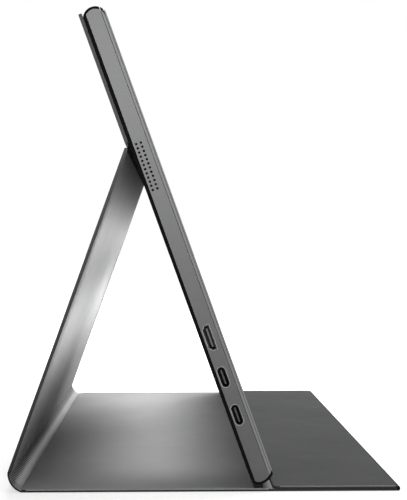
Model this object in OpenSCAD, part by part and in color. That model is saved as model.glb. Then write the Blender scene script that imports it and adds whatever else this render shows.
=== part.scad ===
// Portable monitor standing in its folding magnetic cover.
// The lower cover panel lies on the table, a leg panel leans over it and the monitor hangs on the leg.
// +X is the user's right, -Y is toward the user, +Z is up.
// The origin is under the middle of the whole object, on the table.

/* [Monitor body] */
// Width of the monitor, left to right
mon_w = 358; // [300:1:440]
// Height of the monitor along its own plane
mon_h = 226; // [205:1:275]
// Thickness from the rear of the shell to the front of the glass
mon_t = 10.4; // [10.4:0.1:14]
// Distance of the crown of the rounded top edge in front of the rear face
top_crown = 5; // [4:0.1:6]
// How much the top edge's radius is over the depth that it rounds
top_over = 0.2; // [0.1:0.1:2]
// Distance of the lowest line of the bottom edge in front of the rear face
foot_crown = 4.1; // [3.4:0.1:5]
// How much the bottom edge's rear radius is over the depth that it rounds
foot_rear_over = 0.2; // [0.1:0.1:1]
// How much the bottom edge's front radius is over the depth that it rounds
foot_front_over = 2.2; // [0.5:0.1:4]
// Thickness of the rear shell's floor
shell_t = 1.2; // [0.8:0.1:1.4]
// Thickness of the shell's top and bottom walls
shell_wall = 1.1; // [0.8:0.1:1.3]
// Height of the shell's lip that shows beside the side rails
shell_lip = 1.6; // [1.4:0.1:2]
// Width of the shell's lip under the side rails
lip_w = 2.2; // [1.8:0.1:3]
// Thickness of the two side rails
rail_t = 1.6; // [1.2:0.1:2]
// Clearance between fixed pieces of the monitor
fit_gap = 0.05; // [0.02:0.01:0.1]

/* [Display] */
// Thickness of the cover glass
glass_t = 0.65; // [0.5:0.05:1]
// Thickness of the gasket behind the glass
gasket_t = 0.2; // [0.1:0.05:0.3]
// Width of the gasket ring
gasket_w = 4; // [3:0.5:5]
// How far the gasket and the frame behind it stand back from the outer edge
shadow_gap = 0.45; // [0.2:0.05:0.8]
// Thickness of the display bezel
bezel_t = 1.05; // [0.8:0.05:1.2]
// Height of the dark joint between the bezel and the side rails
joint_h = 0.25; // [0.15:0.05:0.4]
// Distance from a side of the monitor to the display panel
panel_side = 4.5; // [3:0.1:10]
// Distance from the top edge of the glass face to the display panel
panel_drop = 1.38; // [1:0.01:6]
// Distance from the foot of the monitor to the display panel
panel_foot = 17.5; // [14:0.1:30]
// Air between the display panel and the glass
panel_air = 0.3; // [0.1:0.05:0.5]
// Thickness of the display panel
panel_t = 1.4; // [1.2:0.1:1.4]
// Thickness of the light guide with its films
guide_t = 1.5; // [1.2:0.1:1.5]
// Thickness of the steel tray behind the light guide
tray_t = 0.3; // [0.2:0.05:0.35]
// Width of the strip of LEDs under the light guide
led_w = 1; // [0.8:0.1:1.5]

/* [Sockets] */
// Height of the middle of the small video socket above the foot of the monitor
hdmi_at = 69.5; // [66:0.5:80]
// Height of the middle of the upper data socket
usb_upper_at = 50.85; // [47:0.05:56]
// Height of the middle of the lower data socket
usb_lower_at = 32.9; // [30:0.1:36]
// Distance of the sockets in front of the rear face
socket_n = 4.15; // [4.1:0.05:4.2]
// Length of the shell of a data socket
usb_len = 8.94; // [8.5:0.01:9.2]
// Height of the shell of a data socket
usb_high = 3.2; // [3:0.05:3.26]
// Wall of a socket's steel shell
socket_wall = 0.25; // [0.2:0.05:0.35]
// Depth of a data socket
usb_deep = 7.4; // [6:0.1:9]
// Length of the shell of the video socket
hdmi_len = 11.1; // [10.5:0.1:11.5]
// Height of the shell of the video socket
hdmi_high = 3; // [2.8:0.05:3.1]
// Depth of the video socket
hdmi_deep = 7.8; // [6:0.1:9]
// Clearance of a socket in the side rail
socket_gap = 0.25; // [0.15:0.05:0.35]
// Depth of the shallow recess around each socket
recess_deep = 0.35; // [0.2:0.05:0.5]
// Width of that recess around the slot
recess_w = 0.25; // [0.15:0.05:0.4]
// Height of the middle of the headphone socket
jack_at = 45; // [38:0.5:50]
// Radius of the headphone socket's bore
jack_r = 1.78; // [1.75:0.01:1.85]
// Depth of the headphone socket
jack_deep = 13; // [11:0.5:15]
// Width of the headphone socket's housing
jack_w = 6.2; // [5:0.1:7]
// Height of the headphone socket's housing
jack_h = 4.15; // [4:0.05:4.2]
// Height of that housing over the shell's lip
jack_lift = 0.25; // [0.1:0.05:0.3]

/* [Circuit boards] */
// Clearance between the boards and the rear shell
board_lift = 0.3; // [0.1:0.05:0.4]
// Width of the main board
board_w = 62; // [50:1:90]
// Length of the main board below the lower data socket
board_over = 12; // [8:0.5:15]
// Length of the main board above the video socket
board_top_over = 22; // [18:0.5:40]
// Length of the button board past the headphone socket and the rocker
strip_over = 8; // [6:0.5:12]
// Width of the button board behind the headphone socket
strip_rim = 2.5; // [2:0.1:5]
// Radius of the boards' mounting holes
board_hole_r = 1.2; // [0.8:0.1:1.5]
// Width of the flat cable to the display
cable_w = 18; // [10:0.5:24]
// Thickness of the flat cable
cable_t = 0.2; // [0.1:0.05:0.3]

/* [Speakers] */
// Radius of a grille hole
hole_r = 0.6; // [0.4:0.05:0.8]
// Distance between grille holes
hole_pitch = 1.97; // [1.8:0.01:2.2]
// Grille holes in a row
hole_count = 12; // [6:1:14]
// Height of the lowest grille hole
grille_from = 140.2; // [130:0.1:150]
// Distance of the rear row in front of the rear face
row_a = 3; // [2.8:0.1:3.4]
// Distance of the front row in front of the rear face
row_b = 5.2; // [4.8:0.1:5.4]
// Width of a speaker box, away from the side rail
speaker_w = 13; // [9:0.5:20]
// Length that a speaker box reaches past the grille at each end
speaker_over = 2; // [1:0.5:5]

/* [Buttons] */
// Height of the middle of the power button
power_at = 78; // [70:0.5:82]
// Length of the power button
power_len = 9; // [7:0.5:10]
// Height of the middle of the menu rocker
menu_at = 100; // [96:0.5:106]
// Length of the menu rocker
menu_len = 14; // [12:0.5:16]
// Width of both buttons, front to back
button_w = 3; // [2.4:0.1:3.2]
// Clearance of a button in its slot
button_gap = 0.25; // [0.2:0.05:0.3]
// Travel of the power button
press_travel = 0.4; // [0.2:0.05:0.45]
// Radius of the rocker's pivot pin
pin_r = 0.5; // [0.4:0.05:0.6]
// Radial clearance of the pivot pin
pin_gap = 0.05; // [0.03:0.01:0.08]

/* [Screws and magnets] */
// Screws along the top edge, and again along the bottom edge
screw_count = 5; // [3:1:7]
// Clearance between the heads of the upper screws and the top wall
screw_gap = 0.03; // [0.01:0.01:0.2]
// Distance from the foot of the monitor to the lower screws
screw_foot = 7; // [6:0.1:10]
// Distance from a side of the monitor to the outer screws
screw_side = 30; // [15:1:60]
// Radius of a screw's shank
screw_r = 0.8; // [0.6:0.05:1]
// Radius of the threaded posts
post_r = 1.7; // [1.5:0.1:2]
// Thickness of the closed foot of a threaded post
post_floor = 0.8; // [0.4:0.1:1.2]
// Radius of a screw's head
head_r = 1.3; // [1.1:0.05:1.4]
// Thickness of a screw's head
head_t = 0.7; // [0.5:0.05:0.8]
// Radius of a magnet
magnet_r = 4; // [3:0.5:6]
// Thickness of a magnet in the shell
magnet_t = 1.2; // [0.8:0.1:2]
// Distance between magnets in a row
magnet_pitch = 90; // [60:5:95]
// Distance of the lower row of magnets from the fold of the leg
magnet_row_a = 13; // [9:0.5:20]
// Distance of the upper row of magnets from the top of the monitor
magnet_row_b = 13.4; // [8:0.1:30]

/* [Cover] */
// Thickness of the panel that is held on the monitor
upper_t = 1.6; // [1.4:0.05:2]
// Thickness of the leg panel
leg_t = 1.5; // [1.4:0.05:2]
// Thickness of the panel on the table and of the end flap
base_t = 1.08; // [1:0.02:1.4]
// Thickness of the outer cloth
cloth_t = 0.35; // [0.25:0.05:0.4]
// Thickness of the inner lining
lining_t = 0.25; // [0.2:0.05:0.3]
// Width of the turned cloth at a panel's edge
turn_w = 0.9; // [0.6:0.1:1.5]
// Clearance of a stiffener in its cloth
board_gap = 0.04; // [0.02:0.01:0.06]
// Corner radius of the free corners
corner_r = 3; // [1:0.5:6]
// How far the upper panel ends below the crown of the monitor
upper_drop = 0.7; // [0:0.1:4]
// Thickness of the cloth of the spine
spine_cloth_t = 0.5; // [0.4:0.05:0.6]
// Thickness of the lining of the spine
spine_lining_t = 0.4; // [0.3:0.05:0.5]
// Outer radius of the bulging spine
spine_r = 9; // [7:0.1:12]

/* [Standing pose] */
// Angle of the monitor back from upright
lean_back = 19.93; // [16:0.01:24]
// Angle of the leg forward from upright
leg_lean = 19.85; // [16:0.01:24]
// Distance of the fold between leg and monitor from the top of the monitor
fold_drop = 63.4; // [50:0.1:80]
// Height of the fold between spine and leg above the table
spine_rise = 9.03; // [7:0.01:11]
// Distance of that fold behind the fold of the table panel
spine_run = 6.24; // [4:0.01:8]
// Depth of the upper fold line behind the monitor's rear face
fold_deep = 0.85; // [0.75:0.05:0.9]
// Depth of the upper fold line behind the leg's inner face
fold_leg_deep = 0.6; // [0.5:0.05:0.65]
// Half of the bare strip at the upper fold
fold_half = 1.2; // [1:0.1:2]
// Thickness of the cloth that crosses the upper fold
fold_cloth_t = 0.5; // [0.3:0.05:0.6]
// Bare strip at the folds of the spine
spine_gap = 0.35; // [0.3:0.05:0.6]
// Length of the end flap, from its hem to the front crease
flap_len = 56; // [40:1:70]
// Bare strip of each panel at the front crease
crease_gap = 0.1; // [0.05:0.05:0.3]
// Gap between the flap and the table panel under it
flap_gap = 0.08; // [0.05:0.01:0.2]
// Gap between the free hem of the flap and the front of the monitor, seen from above
hem_gap = 0.1; // [0.1:0.05:2]
// Width of the rail under the monitor's foot
rest_w = 4; // [3:0.1:6]
// Height of that rail
rest_h = 1.7; // [1:0.1:2.2]
// How far the rail stops short of the sides
rest_inset = 3; // [1:0.5:20]
// Clearance between the foot and its rail
foot_gap = 0.3; // [0.3:0.05:0.6]

/* [Hidden] */
$fn = 48;
cut = 0.5;               // how far a cutting shape passes through what it cuts

// ---- places on the monitor: s runs up along the panel, n runs from the rear face to the front
half_w = mon_w / 2;
rail_in = half_w - rail_t;
glass_n = mon_t - glass_t;
bezel_n = glass_n - gasket_t - bezel_t;
rail_top_n = bezel_n - joint_h;
top_r = max(top_crown, mon_t - top_crown) + top_over;
foot_rear_r = foot_crown + foot_rear_over;
foot_front_r = mon_t - foot_crown + foot_front_over;
fold_at = mon_h - fold_drop;
panel_w = mon_w - 2 * panel_side;
top_c = mon_h - top_r;                         // height of the centre of the top edge's curve
panel_top = top_c + sqrt(pow(top_r, 2) - pow(mon_t - top_crown, 2)) - panel_drop;
panel_n = glass_n - panel_air - panel_t;
guide_n = panel_n - fit_gap - guide_t;
tray_n = guide_n - fit_gap - tray_t;
frame_out = rail_in - 2 * fit_gap;
lip_in = half_w - lip_w - fit_gap;             // inner face of the shell's side lips
screw_top = top_c + sqrt(pow(top_r - shell_wall, 2) - pow(rail_top_n - top_crown, 2)) - head_r - screw_gap;
screw_step = (mon_w - 2 * screw_side) / (screw_count - 1);
board_n = socket_n - usb_high / 2 - fit_gap;   // top of both circuit boards
pcb_n = shell_t + board_lift;                  // underside of both circuit boards
board_low = usb_lower_at - board_over;
board_high = hdmi_at + board_top_over;
board_in = half_w - board_w;                   // inner edge of the main board
button_x = half_w - 0.05;                      // outer face of both buttons
button_t = 1.95;
flange_t = 0.6;
flange_over = 0.8;
flange_x = rail_in - 0.1 - flange_t;
stem_x = flange_x - 1;
switch_x = stem_x - press_travel - 0.1;
rocker_x = button_x - button_t;
pin_x = rocker_x - 1;
ear_t = 0.8;
lug_w = 1.6;
strip_from = jack_at - strip_over;             // ends and inner edge of the button board
strip_to = menu_at + menu_len / 2 + strip_over;
strip_in = half_w - jack_deep - strip_rim;
strip_out = flange_x - press_travel - 0.1;
jack_n = shell_lip + jack_lift + jack_h / 2;
grille_to = grille_from + (hole_count - 1) * hole_pitch;

// ---- the closed triangle of leg, monitor and table, seen from the left side
// v runs forward from the fold of the table panel, z runs up
foot_low_s = foot_rear_r * (1 - cos(lean_back));
foot_low_n = foot_crown - foot_rear_r * sin(lean_back);
mon_z = base_t + rest_h + foot_gap - foot_low_s * cos(lean_back) - foot_low_n * sin(lean_back);
fold_z = mon_z + fold_at * cos(lean_back) - fold_deep * sin(lean_back);
fold_up = leg_t - fold_leg_deep;               // height of the upper fold over the leg's outer face
leg_len = (fold_z - spine_rise + fold_up * sin(leg_lean)) / cos(leg_lean);
fold_v = leg_len * sin(leg_lean) + fold_up * cos(leg_lean) - spine_run;
mon_v = fold_v + fold_at * sin(lean_back) + fold_deep * cos(lean_back);
rest_v = mon_v - foot_low_s * sin(lean_back) + foot_low_n * cos(lean_back);
front_corner_s = foot_front_r - sqrt(pow(foot_front_r, 2) - pow(mon_t - foot_crown, 2));
hem_v = mon_v - front_corner_s * sin(lean_back) + mon_t * cos(lean_back) + hem_gap;
crease_v = hem_v + flap_len;
crease_z = base_t + flap_gap / 2;
chord = norm([spine_run, spine_rise]);
bulge_c = sqrt(pow(spine_r, 2) - pow(chord / 2, 2));
spine_v = -spine_run / 2 + bulge_c * spine_rise / chord;
spine_z = spine_rise / 2 + bulge_c * spine_run / chord;
rear_reach = spine_z < spine_rise ? spine_r - spine_v : spine_run;
depth = crease_v + crease_z + rear_reach;
fold_y = depth / 2 - rear_reach;               // y of the fold of the table panel
crease_y = fold_y - crease_v;

// ---- frames
module at_monitor() {
    translate([0, fold_y - mon_v, mon_z])
        rotate([90 - lean_back, 0, 0])
            children();
}

module at_leg() {
    translate([0, fold_y + spine_run, spine_rise])
        rotate([90 + leg_lean, 0, 0])
            children();
}

module at_flap() {
    translate([0, crease_y, crease_z])
        rotate([180, 0, 0])
            translate([0, -flap_len, -crease_z])
                children();
}

// a flat outline in (y, z) drawn out to both sides of the middle plane
module across(w) {
    rotate([90, 0, 90])
        linear_extrude(height = w, center = true)
            children();
}

// a block from one corner to another
module block(from, to) {
    translate(from)
        cube(to - from);
}

// ---- the monitor's cross-section between two heights n, stepped in at its two rounded ends
module slab(n_from, n_to, low_in = 0, top_in = 0) {
    intersection() {
        translate([-cut, n_from])
            square([mon_h + 2 * cut, n_to - n_from]);
        union() {
            intersection() {
                translate([foot_rear_r, foot_crown])
                    circle(foot_rear_r - low_in);
                translate([0, -cut])
                    square([foot_rear_r * 2, foot_crown + cut]);
            }
            intersection() {
                translate([foot_front_r, foot_crown])
                    circle(foot_front_r - low_in);
                translate([0, foot_crown])
                    square([foot_front_r * 2, mon_t]);
            }
            translate([foot_rear_r, -cut])
                square([mon_h - foot_rear_r - top_r, foot_crown + cut]);
            translate([foot_front_r, foot_crown - cut])
                square([mon_h - foot_front_r - top_r, mon_t]);
            translate([top_c, top_crown])
                circle(top_r - top_in);
        }
    }
}

// a slot with round ends: length along s, height along n, reaching from x_from to x_to
module round_slot(s, n, len, high, x_from, x_to) {
    translate([x_from, s, n])
        rotate([90, 0, 90])
            linear_extrude(height = x_to - x_from) {
                square([len - high, high], center = true);
                for (side = [-1, 1])
                    translate([side * (len - high) / 2, 0])
                        circle(high / 2);
            }
}

// a slot with its rear corners bevelled, as on the video socket
module bevel_slot(s, n, len, high, x_from, x_to) {
    bevel = high * 0.45;
    translate([x_from, s, n])
        rotate([90, 0, 90])
            linear_extrude(height = x_to - x_from)
                polygon([[-len / 2, high / 2], [-len / 2, -high / 2 + bevel],
                    [-len / 2 + bevel, -high / 2], [len / 2 - bevel, -high / 2],
                    [len / 2, -high / 2 + bevel], [len / 2, high / 2]]);
}

function screw_spots() = [for (s = [screw_foot, screw_top], i = [0 : screw_count - 1])
    [(i - (screw_count - 1) / 2) * screw_step, s]];
function magnet_spots() = [for (s = [fold_at + magnet_row_a, mon_h - magnet_row_b], i = [-1.5 : 1 : 1.5])
    [i * magnet_pitch, s]];

// ---- the monitor
module rear_shell() {
    color("#17181a")
        at_monitor()
            difference() {
                union() {
                    across(mon_w)
                        slab(0, rail_top_n);
                    across(mon_w)
                        intersection() {
                            slab(rail_top_n - cut, mon_t - 0.2);
                            square([foot_front_r, mon_t]);
                        }
                }
                across(mon_w - 2 * lip_w)
                    slab(shell_t, mon_t + cut, shell_wall, shell_wall);
                across(mon_w + cut)
                    slab(shell_lip, mon_t + cut, shell_wall, shell_wall);
            }
}

// threaded posts that stand on the shell's floor, trimmed where the end walls curve
module screw_posts() {
    inset = shell_wall + fit_gap;
    color("#a8915a")
        at_monitor()
            for (spot = screw_spots())
                difference() {
                    intersection() {
                        translate([spot.x, spot.y, shell_t])
                            cylinder(h = tray_n - fit_gap - shell_t, r = post_r);
                        across(mon_w)
                            slab(shell_t, tray_n, inset, inset);
                    }
                    translate([spot.x, spot.y, shell_t + post_floor])
                        cylinder(h = mon_t, r = screw_r + fit_gap);
                }
}

module rail_blank(side) {
    translate([side * (half_w - rail_t / 2), 0, 0])
        across(rail_t)
            slab(shell_lip + fit_gap, rail_top_n, shell_wall + fit_gap, shell_wall + fit_gap);
}

module grille(side) {
    for (i = [0 : hole_count - 1], n = [row_a, row_b])
        translate([side * (half_w - rail_t / 2), grille_from + i * hole_pitch, n])
            rotate([0, 90, 0])
                cylinder(h = rail_t + 2 * cut, r = hole_r, center = true);
}

module left_side_rail() {
    slot_gap = 2 * socket_gap;
    rim = slot_gap + 2 * recess_w;
    out = -half_w - cut;
    color("#8f9194")
        at_monitor()
            difference() {
                rail_blank(-1);
                grille(-1);
                for (s = [usb_upper_at, usb_lower_at]) {
                    round_slot(s, socket_n, usb_len + slot_gap, usb_high + slot_gap, out, -rail_in + cut);
                    round_slot(s, socket_n, usb_len + rim, usb_high + rim, out, recess_deep - half_w);
                }
                bevel_slot(hdmi_at, socket_n, hdmi_len + slot_gap, hdmi_high + slot_gap, out, -rail_in + cut);
                bevel_slot(hdmi_at, socket_n, hdmi_len + rim, hdmi_high + rim, out, recess_deep - half_w);
            }
}

module right_side_rail() {
    color("#8f9194")
        at_monitor()
            difference() {
                rail_blank(1);
                grille(1);
                round_slot(power_at, socket_n, power_len + 2 * button_gap, button_w + 2 * button_gap,
                    rail_in - cut, half_w + cut);
                round_slot(menu_at, socket_n, menu_len + 2 * button_gap, button_w + 2 * button_gap,
                    rail_in - cut, half_w + cut);
                translate([rail_in - cut, jack_at, jack_n])
                    rotate([0, 90, 0])
                        cylinder(h = rail_t + 2 * cut, r = jack_r + 0.35);
            }
}

module mid_frame() {
    color("#202124")
        at_monitor()
            difference() {
                across(2 * frame_out)
                    slab(tray_n, bezel_n, shell_wall + fit_gap, shell_wall + fit_gap);
                block([-panel_w / 2 - 0.1, panel_foot - led_w - 0.4, tray_n - cut],
                    [panel_w / 2 + 0.1, panel_top + 0.1, mon_t]);
                for (spot = screw_spots()) {
                    translate([spot.x, spot.y, tray_n - cut])
                        cylinder(h = mon_t, r = screw_r + fit_gap);
                    translate([spot.x, spot.y, bezel_n - head_t - 0.1])
                        cylinder(h = mon_t, r = head_r + fit_gap);
                }
                block([half_w - jack_deep, power_at - power_len, 0],
                    [half_w, power_at + power_len, socket_n + (button_w + flange_over) / 2 + fit_gap]);
            }
}

module display_bezel() {
    color("#a4a6a8")
        at_monitor()
            difference() {
                across(mon_w)
                    slab(bezel_n, bezel_n + bezel_t, shell_wall + fit_gap);
                block([-panel_w / 2 - 0.5, panel_foot - 0.5, 0], [panel_w / 2 + 0.5, panel_top + 0.5, mon_t]);
            }
}

module glass_gasket() {
    color("#0c0c0d")
        at_monitor()
            difference() {
                across(mon_w - 2 * shadow_gap)
                    slab(bezel_n + bezel_t, glass_n, shell_wall + shadow_gap, shadow_gap);
                block([gasket_w - half_w, foot_front_r + gasket_w / 2, 0],
                    [half_w - gasket_w, mon_h - top_r, mon_t]);
            }
}

module cover_glass() {
    color("#1c2024")
        at_monitor()
            across(mon_w)
                slab(glass_n, mon_t, shell_wall + fit_gap);
}

module display_panel() {
    color("#2a2d33")
        at_monitor()
            block([-panel_w / 2, panel_foot, panel_n], [panel_w / 2, panel_top, panel_n + panel_t]);
}

module light_guide() {
    color("#e8ecef")
        at_monitor()
            block([1 - panel_w / 2, panel_foot + 0.5, guide_n],
                [panel_w / 2 - 1, panel_top - 1, guide_n + guide_t]);
}

module backlight_tray() {
    color("#c9ccd0")
        at_monitor()
            difference() {
                block([-panel_w / 2, panel_foot - led_w - 0.3, tray_n],
                    [panel_w / 2, panel_top, panel_n - fit_gap]);
                block([0.5 - panel_w / 2, panel_foot - led_w, tray_n + tray_t],
                    [panel_w / 2 - 0.5, panel_top - 0.5, mon_t]);
            }
}

module led_strip() {
    color("#f4f1df")
        at_monitor()
            difference() {
                block([3 - panel_w / 2, panel_foot - led_w + 0.1, guide_n],
                    [panel_w / 2 - 3, panel_foot + 0.4, guide_n + guide_t - 0.1]);
                for (i = [-20 : 20])
                    translate([i * (panel_w - 30) / 41, panel_foot + 0.4, guide_n + guide_t])
                        cube([2, 0.6, 1], center = true);
            }
}

module main_board() {
    color("#1d4a33")
        at_monitor() {
            difference() {
                block([-lip_in, board_low, pcb_n], [-board_in, board_high, board_n]);
                for (s = [board_low + 4, board_high - 4], x = [5 - lip_in, -board_in - 5])
                    translate([x, s, 0])
                        cylinder(h = mon_t, r = board_hole_r);
            }
            block([-board_in - 30, board_low + 22, board_n], [-board_in - 16, board_low + 36, board_n + 1.2]);
            block([-board_in - 34, board_high - 24, board_n], [-board_in - 26, board_high - 16, board_n + 1]);
            block([-board_in - 22, board_high - 22, board_n],
                [-board_in - 14, board_high - 16, board_n + 0.9]);
            block([-board_in - 12, board_low + 8, board_n], [-board_in - 6, board_low + 16, board_n + 2]);
            block([-board_in - 6, board_high - 34, board_n], [-board_in - 2, board_high - 12, board_n + 1]);
        }
}

// the strip that carries the switches, with the bracket of the rocker's pin
module button_board() {
    pin_low = socket_n - lug_w / 2 - 0.1 - ear_t;
    pin_high = socket_n + lug_w / 2 + 0.1;
    ear_x = pin_x + 0.8;
    color("#1d4a33")
        at_monitor()
            difference() {
                union() {
                    block([strip_in, strip_from, pcb_n], [strip_out, strip_to, board_n]);
                    block([switch_x - 2, power_at - 2.5, board_n], [switch_x, power_at + 2.5, board_n + 3]);
                    for (side = [-1, 1])
                        block([pin_x - 3, menu_at + side * 5 - 1.5, board_n],
                            [rocker_x - 0.45, menu_at + side * 5 + 1.5, board_n + 2.6]);
                    block([pin_x - 2, menu_at - 1.6, board_n],
                        [pin_x - 1.2, menu_at + 1.6, pin_high + ear_t]);
                    block([pin_x - 2, menu_at - 1.6, pin_high], [ear_x, menu_at + 1.6, pin_high + ear_t]);
                    block([pin_x - 2, menu_at - 1.6, board_n], [ear_x, menu_at + 1.6, pin_low + ear_t]);
                }
                translate([pin_x, menu_at, board_n])
                    cylinder(h = mon_t, r = pin_r + pin_gap);
                block([half_w - jack_deep - 0.2, jack_at - jack_w / 2 - 0.1, 0],
                    [half_w, jack_at + jack_w / 2 + 0.1, mon_t]);
                for (s = [strip_from + 2, strip_to - 3])
                    translate([strip_in + 3, s, 0])
                        cylinder(h = mon_t, r = board_hole_r);
            }
}

// flat cable from the main board to the back of the display
module display_cable() {
    x0 = -board_in - 4;
    low = board_n + 1;
    high = tray_n - fit_gap;
    color("#c98a2b")
        at_monitor()
            translate([0, board_high - 23, 0])
                rotate([90, 0, 0])
                    linear_extrude(height = cable_w, center = true)
                        polygon([[x0, low], [x0 + 8, low], [x0 + 14, high - cable_t],
                            [x0 + 40, high - cable_t], [x0 + 40, high], [x0 + 13.9, high],
                            [x0 + 7.9, low + cable_t], [x0, low + cable_t]]);
}

module speaker(side) {
    out = lip_in;
    color("#2b2c2f")
        at_monitor()
            translate([side * (out - speaker_w / 2), (grille_from + grille_to) / 2, shell_t])
                difference() {
                    translate([-speaker_w / 2, (grille_from - grille_to) / 2 - speaker_over, 0])
                        cube([speaker_w, grille_to - grille_from + 2 * speaker_over, tray_n - shell_t - 0.3]);
                    translate([side * speaker_w / 2, 0, (tray_n - shell_t) / 2])
                        cube([0.6, grille_to - grille_from + 1, 3], center = true);
                }
}

module left_speaker() {
    speaker(-1);
}

module right_speaker() {
    speaker(1);
}

module data_socket(s) {
    out = recess_deep - half_w;
    inside = 2 * socket_wall;
    color("#b9bcc0")
        at_monitor() {
            difference() {
                round_slot(s, socket_n, usb_len, usb_high, out, out + usb_deep);
                round_slot(s, socket_n, usb_len - inside, usb_high - inside, out - cut, out + usb_deep - 1);
            }
            block([out + 0.7, s - 3.35, socket_n - 0.35], [out + usb_deep - 0.5, s + 3.35, socket_n + 0.35]);
        }
}

module upper_data_socket() {
    data_socket(usb_upper_at);
}

module lower_data_socket() {
    data_socket(usb_lower_at);
}

module video_socket() {
    out = recess_deep - half_w;
    inside = 2 * socket_wall;
    color("#b9bcc0")
        at_monitor() {
            difference() {
                bevel_slot(hdmi_at, socket_n, hdmi_len, hdmi_high, out, out + hdmi_deep);
                bevel_slot(hdmi_at, socket_n, hdmi_len - inside, hdmi_high - inside, out - cut,
                    out + hdmi_deep - 1);
            }
            block([out + 0.9, hdmi_at - 4.3, socket_n - 0.1],
                [out + hdmi_deep - 0.5, hdmi_at + 4.3, socket_n + 0.6]);
        }
}

module headphone_socket() {
    out = rail_in - fit_gap;
    color("#151517")
        at_monitor()
            difference() {
                block([half_w - jack_deep, jack_at - jack_w / 2, jack_n - jack_h / 2],
                    [out, jack_at + jack_w / 2, jack_n + jack_h / 2]);
                translate([half_w - jack_deep + 1, jack_at, jack_n])
                    rotate([0, 90, 0])
                        cylinder(h = jack_deep, r = jack_r);
            }
}

module power_button() {
    color("#5d5f62")
        at_monitor() {
            round_slot(power_at, socket_n, power_len, button_w, flange_x, button_x);
            round_slot(power_at, socket_n, power_len + 1.4, button_w + flange_over,
                flange_x, rail_in - 0.1);
            translate([stem_x, power_at, socket_n])
                rotate([0, 90, 0])
                    cylinder(h = flange_x + flange_t - stem_x, r = 1);
        }
}

module menu_rocker() {
    color("#5d5f62")
        at_monitor() {
            round_slot(menu_at, socket_n, menu_len, button_w, rocker_x, button_x);
            block([pin_x - 0.8, menu_at - 1.3, socket_n - lug_w / 2],
                [rocker_x + 0.3, menu_at + 1.3, socket_n + lug_w / 2]);
            translate([pin_x, menu_at, socket_n])
                cylinder(h = lug_w + 2 * ear_t - 0.2, r = pin_r, center = true);
        }
}

module housing_screws() {
    color("#9a9da1")
        at_monitor()
            for (spot = screw_spots()) {
                translate([spot.x, spot.y, shell_t + post_floor + 0.2])
                    cylinder(h = bezel_n - head_t - shell_t - post_floor - 0.1, r = screw_r);
                translate([spot.x, spot.y, bezel_n - head_t - 0.1])
                    cylinder(h = head_t, r = head_r);
            }
}

module shell_magnets() {
    color("#a9adb2")
        at_monitor()
            for (spot = magnet_spots())
                translate([spot.x, spot.y, shell_t])
                    cylinder(h = magnet_t, r = magnet_r);
}

// ---- the cover: every panel is a tray of outer cloth, a stiffener in it and a lining over it
// a plate from y = 0 to len, with rounded corners at its far end where round_r is over 0
module plate(len, w, z_from, z_to, round_r = 0) {
    translate([0, 0, z_from])
        linear_extrude(height = z_to - z_from) {
            translate([-w / 2, 0])
                square([w, len - round_r]);
            translate([round_r - w / 2, 0])
                square([w - 2 * round_r, len]);
            if (round_r > 0)
                for (side = [-1, 1])
                    translate([side * (w / 2 - round_r), len - round_r])
                        circle(round_r);
        }
}

module panel_cloth(len, t, round_r = 0) {
    difference() {
        plate(len, mon_w, 0, t, round_r);
        translate([0, turn_w, 0])
            plate(len - 2 * turn_w, mon_w - 2 * turn_w, cloth_t, t + cut);
    }
}

module panel_board(len, t) {
    edge = turn_w + board_gap;
    translate([0, edge, 0])
        plate(len - 2 * edge, mon_w - 2 * edge, cloth_t, t - lining_t);
}

module panel_lining(len, t) {
    edge = turn_w + board_gap;
    translate([0, edge, 0])
        plate(len - 2 * edge, mon_w - 2 * edge, t - lining_t, t);
}

upper_from = fold_at + fold_half;
upper_len = mon_h - upper_drop - upper_from;
leg_from = spine_gap;
leg_panel = leg_len - fold_half - leg_from;
base_len = crease_v - spine_gap - crease_gap;
flap_panel = flap_len - crease_gap;

module at_upper() {
    at_monitor()
        translate([0, upper_from, -upper_t])
            children();
}

module magnet_holes(r, h) {
    for (spot = magnet_spots())
        translate([spot.x, spot.y - upper_from, -cut])
            cylinder(h = h + cut, r = r);
}

module upper_cloth() {
    color("#3f4144")
        at_upper()
            panel_cloth(upper_len, upper_t, corner_r);
}

module upper_board() {
    color("#6b6c6e")
        at_upper()
            difference() {
                panel_board(upper_len, upper_t);
                magnet_holes(magnet_r + board_gap, upper_t);
            }
}

module upper_lining() {
    color("#8b8d90")
        at_upper()
            panel_lining(upper_len, upper_t);
}

module cover_magnets() {
    color("#a9adb2")
        at_upper()
            intersection() {
                magnet_holes(magnet_r, upper_t);
                plate(upper_len, mon_w, cloth_t, upper_t - lining_t);
            }
}

// the bare cloth across the upper fold, bent over the fold line
module upper_fold_cloth() {
    color("#3f4144")
        across(mon_w) {
            translate([fold_y - fold_v, fold_z])
                circle(fold_cloth_t / 2);
            translate([fold_y - fold_v, fold_z])
                rotate(90 - lean_back)
                    translate([0, -fold_cloth_t / 2])
                        square([fold_half, fold_cloth_t]);
            translate([fold_y - fold_v, fold_z])
                rotate(leg_lean - 90)
                    translate([0, -fold_cloth_t / 2])
                        square([fold_half - 0.2, fold_cloth_t]);
        }
}

module leg_cloth() {
    color("#3f4144")
        at_leg()
            translate([0, leg_from, 0])
                panel_cloth(leg_panel, leg_t);
}

module leg_board() {
    color("#6b6c6e")
        at_leg()
            translate([0, leg_from, 0])
                panel_board(leg_panel, leg_t);
}

module leg_lining() {
    color("#8b8d90")
        at_leg()
            translate([0, leg_from, 0])
                panel_lining(leg_panel, leg_t);
}

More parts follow.
